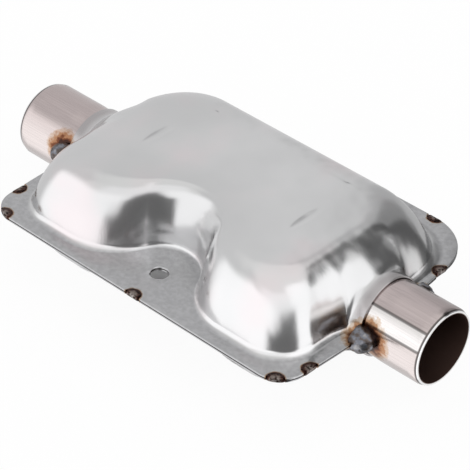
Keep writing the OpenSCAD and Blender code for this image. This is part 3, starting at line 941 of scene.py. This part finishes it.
# %% Shells in place
CUT_STEPS, PAST, ROUND_TOP = 48, 2.0, 3.0
PUNCH_ROUND, PUNCH_FLARE, TACK_GAP = 0.2, 0.5, 0.05
hole = plug([(BOLT_R + PUNCH_FLARE, -PAST), (BOLT_R + PUNCH_ROUND, 0.0), (BOLT_R, PUNCH_ROUND),
             (BOLT_R, SHEET - PUNCH_ROUND), (BOLT_R + PUNCH_ROUND, SHEET),
             (BOLT_R + PUNCH_FLARE, SHEET + PAST)], CUT_STEPS, (0, -BOLT_Y))
rounds = [plug([(TACK_R - TACK_GAP, -PAST), (TACK_R - TACK_GAP, ROUND_TOP)], CUT_STEPS, place)
          for _, place, _ in TACKS]
to_joint = Matrix.Translation((0, 0, JOINT * MM))
turn_over = to_joint @ Matrix.Diagonal((1, 1, -1, 1)) @ to_joint.inverted()
for name, h in (("upper_shell", UPPER_H), ("lower_shell", LOWER_H)):
    points, faces = sheet_mesh(h)
    shell = new_piece(name + "_sheet", points, faces, sheet_steel)
    cut(shell, [hole] + rounds)
    if name == "lower_shell":
        shell.data.transform(turn_over)
        shell.data.flip_normals()
    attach(shell, "root")
    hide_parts(name)
    print(shell.name, "faces after cutting:", len(shell.data.polygons))

# %% [markdown]
# ## Pipes
#
# Each pipe has a body that fits the collar, a slightly larger seat for the hose, and a
# bevelled end. All of it is round, so one profile is turned, as on a lathe. The seat grows
# out of the body gently, so that no hard ring shows beside the beads.

# %% Pipes
BEAD_LONG = 1.4
PIPE_STEPS, SWELL_STEPS, PIPE_ROWS, BEVEL_ROWS = 144, 13, 8, 4
PIPE_INSIDE, BEVEL_IN = 10.0, 0.5
PIPE_SMOOTH = math.radians(25)


def pipe_profile(end):
    """Radius and place along X of each ring, in through the bore and out along the outside."""
    swell_from, seat = COLLAR_END + 0.5, COLLAR_END + BEAD_LONG * BEAD_R[end] + 1.0
    start, to = DIMPLE_X - PIPE_INSIDE, COLLAR_END + STUBS[end]
    bore = [(BORE_R, x) for x in np.linspace(to, start, PIPE_ROWS)]
    body = [(BODY_R, x) for x in np.linspace(start, swell_from, PIPE_ROWS)[:-1]]
    swell = [(mix(BODY_R, PIPE_R, eased(s)), mix(swell_from, seat, s))
             for s in np.linspace(0, 1, SWELL_STEPS)]
    tube = [(PIPE_R, x) for x in np.linspace(seat, to - BEVEL, PIPE_ROWS)[1:-1]]
    bevel = [(PIPE_R - BEVEL_IN * s, to - BEVEL + BEVEL * s) for s in np.linspace(0, 1, BEVEL_ROWS)]
    return bore + body + swell + tube + bevel


for end in ("inlet", "outlet"):
    points, faces = turned(pipe_profile(end), PIPE_STEPS, closed=True)
    points = np.roll(points, 1, axis=1)
    if end == "inlet":
        points = points * [-1, 1, 1]
        faces = [f[::-1] for f in faces]
    pipe = new_piece(end + "_pipe_tube", points, faces, PIPE_STEEL[end], PIPE_SMOOTH)
    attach(pipe, "root")
    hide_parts(end + "_pipe")
    print(pipe.name, "from", round(min(points[:, 0]), 1), "to", round(max(points[:, 0]), 1), "mm")

# %% [markdown]
# ## Weld beads
#
# A bead is a lump that hugs the pipe. It could be sculpted by hand, but a lump from a
# formula can be made again for any pipe. It starts as a dome on the collar's end, is made
# uneven with noise and ripples, and its back is pushed out of the pipe.

# %% Weld beads
BEAD_TURNS, DOME_RINGS, BACK_RINGS, BEAD_BACK = 48, 18, 5, 0.5
BACK_SHARE, DOME_FROM, BEAD_BITE = 0.9, -0.09, 0.08
LUMPS_PER_MM, LUMP, SMALL_LUMP, SMALLER = 0.5, 0.10, 0.05, 2.7
RIPPLE_H, RIPPLE_RATE = 0.06, 5.5
BEAD_SMOOTH, BEAD_SEED = math.radians(60), 7.3


def bead_rows(r):
    """Radius and reach of each ring of a bead, from its flat back to its round nose."""
    back = [(r * BACK_SHARE * i / BACK_RINGS, -BEAD_BACK) for i in range(1, BACK_RINGS)]
    dome = [(r * math.cos(a), BEAD_LONG * r * math.sin(a))
            for a in np.linspace(DOME_FROM, math.pi / 2, DOME_RINGS)[:-1]]
    return back + dome


def uneven(p, cx, cy, end, r, lift, seed):
    """Move a point of a bead with noise and ripples, and out of the pipe."""
    where = Vector((p[0] * LUMPS_PER_MM + seed, p[1] * LUMPS_PER_MM, p[2] * LUMPS_PER_MM))
    swell = 1 + LUMP * noise.noise(where) + SMALL_LUMP * noise.noise(where * SMALLER)
    out = max(0.0, end * (p[0] - cx))
    ripple = RIPPLE_H * math.sin(out * RIPPLE_RATE + 2 * noise.noise(where)) * min(1, out)
    y = cy + (p[1] - cy) * (swell + ripple / r)
    z = lift + (p[2] - lift) * (swell + ripple / r)
    away, least = math.hypot(y, z), BODY_R - BEAD_BITE
    push = least / away if away < least else 1.0
    return [p[0], y * push, z * push]


def bead_mesh(end, side, r, lift, seed):
    """Points and faces of one bead, closed at its back and its nose."""
    rows, turns = bead_rows(r), BEAD_TURNS
    cx, cy = end * COLLAR_END, side * (BODY_R + r / 3)
    angles = [2 * math.pi * j / turns for j in range(turns)]
    points = [[cx + end * out, cy + radius * math.cos(a), lift + radius * math.sin(a)]
              for radius, out in rows for a in angles]
    points += [[cx - end * BEAD_BACK, cy, lift], [cx + end * BEAD_LONG * r, cy, lift]]
    points = [uneven(p, cx, cy, end, r, lift, seed) for p in points]
    last, back, nose = (len(rows) - 1) * turns, len(rows) * turns, len(rows) * turns + 1
    faces = bands(len(rows), turns)
    faces += [(back, (j + 1) % turns, j) for j in range(turns)]
    faces += [(nose, last + j, last + (j + 1) % turns) for j in range(turns)]
    return np.array(points), faces if end > 0 else [f[::-1] for f in faces]


for seed, (name, end, side, r, lift) in enumerate(BEADS):
    points, faces = bead_mesh(end, side, r, lift, BEAD_SEED * seed)
    bead = new_piece(name + "_bead", points, faces, weld_metal, BEAD_SMOOTH)
    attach(bead, "root")
    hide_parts(name)
print("beads made:", len(BEADS))

# %% [markdown]
# ## Tack welds
#
# Each puddle is a low dome that fills its round in both sheets and rolls over their edge.
# A plain disc would stand out past the flange, so for each direction the dome's reach is
# stepped outwards until it meets the round or passes the edge.

# %% Tack welds
TACK_TURNS, TACK_RINGS = 64, 12
PUDDLE_IN, PUDDLE_OVER, PUDDLE_H = 1.2, 0.12, 0.2
REACH_FROM, REACH_MOST, REACH_STEP = 0.05, 6, 0.02
LONG_SIDE_FROM = 40
ROLL_FROM, ROLL_WIDTH, ROLL_AHEAD, ROLL_MOST = 0.7, 0.5, 1.6, 0.97
PUDDLE_RIPPLE, PUDDLE_LEAST = 0.05, 0.02
TACK_SMOOTH, TACK_SEED = math.radians(50), 3.1


def outward(place, corner):
    """Direction from the flange's inside to its outside at a tack."""
    if corner:
        way = np.subtract(place, corner[0])
        return way / np.linalg.norm(way)
    if abs(place[1]) > LONG_SIDE_FROM:
        return np.array([0.0, math.copysign(1, place[1])])
    return np.array([math.copysign(1, place[0]), 0.0])


def puddle_reach(middle, way, place, corner, out):
    """How far a puddle runs from its middle before it meets its round or the flange's edge."""
    for s in np.arange(REACH_FROM, REACH_MOST, REACH_STEP):
        p = middle + s * way
        past = np.linalg.norm(p - corner[0]) - corner[1] if corner else (p - place) @ out
        if np.linalg.norm(p - place) > TACK_R - REACH_STEP or past > PUDDLE_OVER:
            return s


def puddle_height(share, over, x, y, seed):
    """Height of the dome, rippled in the middle and rolled down at the flange's edge."""
    wander = 3 * noise.noise(Vector((x, y, seed)))
    ripple = PUDDLE_RIPPLE * math.sin(9 * share + wander) * (1 - share)
    z = SHEET + PUDDLE_H * (1 - share ** 2) + ripple
    rolled = max(0.0, (share - ROLL_FROM) / (1 - ROLL_FROM))
    z *= 1 - over * (1 - math.sqrt(max(0.0, 1 - rolled * rolled)))
    return max(z, PUDDLE_LEAST)


def tack_mesh(place, corner, seed):
    """Points and faces of one puddle, the same above and below the joint plane."""
    rings, turns = TACK_RINGS, TACK_TURNS
    out = outward(place, corner)
    middle = np.array(place) - out * PUDDLE_IN
    angles = [2 * math.pi * j / turns for j in range(turns)]
    ways = [np.array([math.cos(a), math.sin(a)]) for a in angles]
    reach = np.array([puddle_reach(middle, way, place, corner, out) for way in ways])
    for _ in range(2):
        reach = (np.roll(reach, 1) + 2 * reach + np.roll(reach, -1)) / 4
    top = []
    for share in [i / rings for i in range(1, rings + 1)]:
        for way, far in zip(ways, reach):
            x, y = middle + way * far * share
            past = ((x, y) - np.array(place)) @ out
            over = float(np.clip(past / ROLL_WIDTH + ROLL_AHEAD, 0, 1)) * ROLL_MOST
            top.append((x, y, puddle_height(share, over, x, y, seed)))
    points = top + [(x, y, -z) for x, y, z in top]
    points += [(*middle, SHEET + PUDDLE_H), (*middle, -SHEET - PUDDLE_H)]
    half, rim = rings * turns, (rings - 1) * turns
    faces = []
    for sign, base, centre in ((1, 0, 2 * half), (-1, half, 2 * half + 1)):
        made = [(centre, base + j, base + (j + 1) % turns) for j in range(turns)]
        made += [(base + a, base + d, base + c, base + b) for a, b, c, d in bands(rings, turns)]
        faces += made if sign > 0 else [f[::-1] for f in made]
    faces += [(rim + j, half + rim + j, half + rim + (j + 1) % turns, rim + (j + 1) % turns)
              for j in range(turns)]
    return np.array(points), faces


for seed, (name, place, corner) in enumerate(TACKS):
    points, faces = tack_mesh(place, corner, TACK_SEED * seed)
    tack = new_piece(name + "_puddle", points, faces, tack_metal, TACK_SMOOTH)
    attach(tack, "root")
    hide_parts(name)
print("tacks made:", len(TACKS))

# %% [markdown]
# ## Paper floor
#
# The muffler stands on matt paper that keeps its shadow and looks nearly white to the
# camera. Away from the muffler the paper lets mirror rays through, so that the walls show
# the room's curtains and not a second, brighter floor. Right under the flange it stays,
# because the bolt hole's inside mirrors it.

# %% Paper floor
FLOOR_HALF = 3000.0
KEPT_X, KEPT_Y = 55.0, 42.0
PAPER_GLOW = 0.94
ground = bpy.data.meshes.new("ground")
corners = [(x * FLOOR_HALF * MM, y * FLOOR_HALF * MM, 0) for x, y in ((-1, -1), (1, -1), (1, 1), (-1, 1))]
ground.from_pydata(corners, [], [(0, 1, 2, 3)])
ground_obj = bpy.data.objects.new("ground", ground)
bpy.context.scene.collection.objects.link(ground_obj)
paper, tree, shader = blank("Paper backdrop - matt white", 0.0, 0.9)
shader.inputs["Base Color"].default_value = linear("f6f6f6")
shader.inputs["Specular IOR Level"].default_value = 0.2
rays = add(tree, "LightPath").node.outputs
glow = add(tree, "Emission", {"Color": (1, 1, 1, 1), "Strength": 1.0})
clear = add(tree, "BsdfTransparent")
seen = add(tree, "Math", [rays["Is Camera Ray"], PAPER_GLOW], operation="MULTIPLY")
lit = add(tree, "MixShader", [seen, shader.outputs[0], glow])
spot = add(tree, "Mapping", {"Vector": add(tree, "TexCoord", output="Object"),
                             "Scale": (1 / (KEPT_X * MM), 1 / (KEPT_Y * MM), 0.0)})
apart = add(tree, "VectorMath", [spot], "Value", operation="LENGTH")
outside = add(tree, "Math", [apart, 1.0], operation="GREATER_THAN")
passed = add(tree, "Math", [rays["Is Glossy Ray"], outside], operation="MULTIPLY")
lit = add(tree, "MixShader", [passed, lit, clear])
surface = next(n for n in tree.nodes if n.type == "OUTPUT_MATERIAL")
tree.links.new(lit, surface.inputs["Surface"])
ground.materials.append(paper)
print("floor:", paper.name)

# %% [markdown]
# ## The room that the steel mirrors
#
# The muffler stands in a white tent. Bright steel shows what is round it, so the room's
# brightness by direction matters more than lamps. The world is white to the camera and to
# diffuse light, and mirror rays see soft pale and dark fields: upright curtains, which
# reach from the floor to some height, and round cards. Real panels round the object would
# do the same, but they would also shade it.

# %% The room that the steel mirrors
world = bpy.data.worlds.new("white tent")
bpy.context.scene.world = world
world.use_nodes = True
tree = world.node_tree
tree.nodes.clear()
direction = add(tree, "TexCoord", output="Generated")
level = add(tree, "VectorMath", [direction, (1, 1, 0)], operation="MULTIPLY")
level = add(tree, "VectorMath", [level], operation="NORMALIZE")
height = add(tree, "SeparateXYZ", [direction], output=2)


def toward(azimuth, elevation=0.0):
    """Unit vector to an azimuth counted from -Y towards +X, and an elevation."""
    a, e = math.radians(azimuth), math.radians(elevation)
    return (math.cos(e) * math.sin(a), -math.cos(e) * math.cos(a), math.sin(e))


def card(azimuth, elevation, wide, soft):
    """A round card in the room: 1 inside, 0 outside, with a soft edge."""
    along = add(tree, "VectorMath", [direction, toward(azimuth, elevation)], "Value",
                operation="DOT_PRODUCT")
    outer, inner = math.radians(wide + soft), math.radians(max(0.0, wide - soft))
    return add(tree, "MapRange", [along, math.cos(outer), math.cos(inner)], **SOFT)


def curtain(azimuth, wide, soft, top, top_soft):
    """An upright curtain from the floor up to an elevation, with soft edges."""
    along = add(tree, "VectorMath", [level, toward(azimuth)], "Value", operation="DOT_PRODUCT")
    outer, inner = math.radians(wide + soft), math.radians(max(0.0, wide - soft))
    side = add(tree, "MapRange", [along, math.cos(outer), math.cos(inner)], **SOFT)
    low, high = math.sin(math.radians(top - top_soft)), math.sin(math.radians(top + top_soft))
    below = add(tree, "MapRange", [height, high, low], **SOFT)
    return add(tree, "Math", [side, below], operation="MULTIPLY")


# each field lies over the ones before it: what it is, its place and size in degrees, its brightness
FIELDS = [
    (curtain, (60, 75, 15, 60, 8), 1.02),
    (curtain, (260, 56, 8, 58, 10), 0.71),
    (curtain, (194, 16, 6, 54, 6), 0.50),
    (curtain, (342, 48, 12, 32, 10), 1.20),
    (curtain, (100, 28, 8, 75, 8), 1.20),
    (card, (165, 22, 32, 3), 0.30),
    (curtain, (163, 11, 6, 48, 5), 0.11),
    (card, (174, 46, 10, 4), 0.08),
    (card, (150, 36, 8, 4), 0.12),
    (curtain, (62, 16, 7, 22, 8), 0.18),
    (curtain, (56, 22, 8, 12, 7), 0.17),
    (curtain, (47, 30, 8, 5, 5), 0.15),
    (card, (74, -10, 12, 5), 0.15),
]
tent = (0.86, 0.86, 0.86, 1)
for field, size, grey in FIELDS:
    tent = add(tree, "Mix", {0: field(*size), 6: tent, 7: (grey, grey, grey * 1.01, 1)}, **COLOURS)
plain = add(tree, "Background", {"Color": (1, 1, 1, 1), "Strength": 1.0})
room = add(tree, "Background", {"Color": tent, "Strength": 1.0})
mirrored = add(tree, "LightPath", output="Is Glossy Ray")
add(tree, "OutputWorld", {"Surface": add(tree, "MixShader", [mirrored, plain, room])})
print("fields in the room:", len(FIELDS))

# %% [markdown]
# ## Camera
#
# The picture was taken from above and from the right, with a long lens that leaves the
# flange's sides almost parallel. The camera's place, direction and slight roll were found
# by laying the part's outlines over the picture.

# %% Camera
CAMERA_AT = (371.7296, -409.6274, 430.6941)
AZIMUTH, ELEVATION, ROLL = [math.radians(a) for a in (42.24, 37.01, 1.65)]
camera = bpy.data.cameras.new("camera")
camera.lens = 179.63
camera.sensor_width = 36.0
camera.clip_start = 0.01
camera_obj = bpy.data.objects.new("camera", camera)
bpy.context.scene.collection.objects.link(camera_obj)
back = Vector((math.sin(AZIMUTH) * math.cos(ELEVATION), -math.cos(AZIMUTH) * math.cos(ELEVATION),
               math.sin(ELEVATION)))
level_right = Vector((math.cos(AZIMUTH), math.sin(AZIMUTH), 0))
level_up = back.cross(level_right)
right = math.cos(ROLL) * level_right + math.sin(ROLL) * level_up
up = math.cos(ROLL) * level_up - math.sin(ROLL) * level_right
turn = Matrix((right, up, back)).transposed().to_4x4()
camera_obj.matrix_world = Matrix.Translation([v * MM for v in CAMERA_AT]) @ turn
bpy.context.scene.camera = camera_obj
bpy.context.scene.view_settings.view_transform = "Standard"
print("camera at", [round(v, 3) for v in camera_obj.matrix_world.translation])
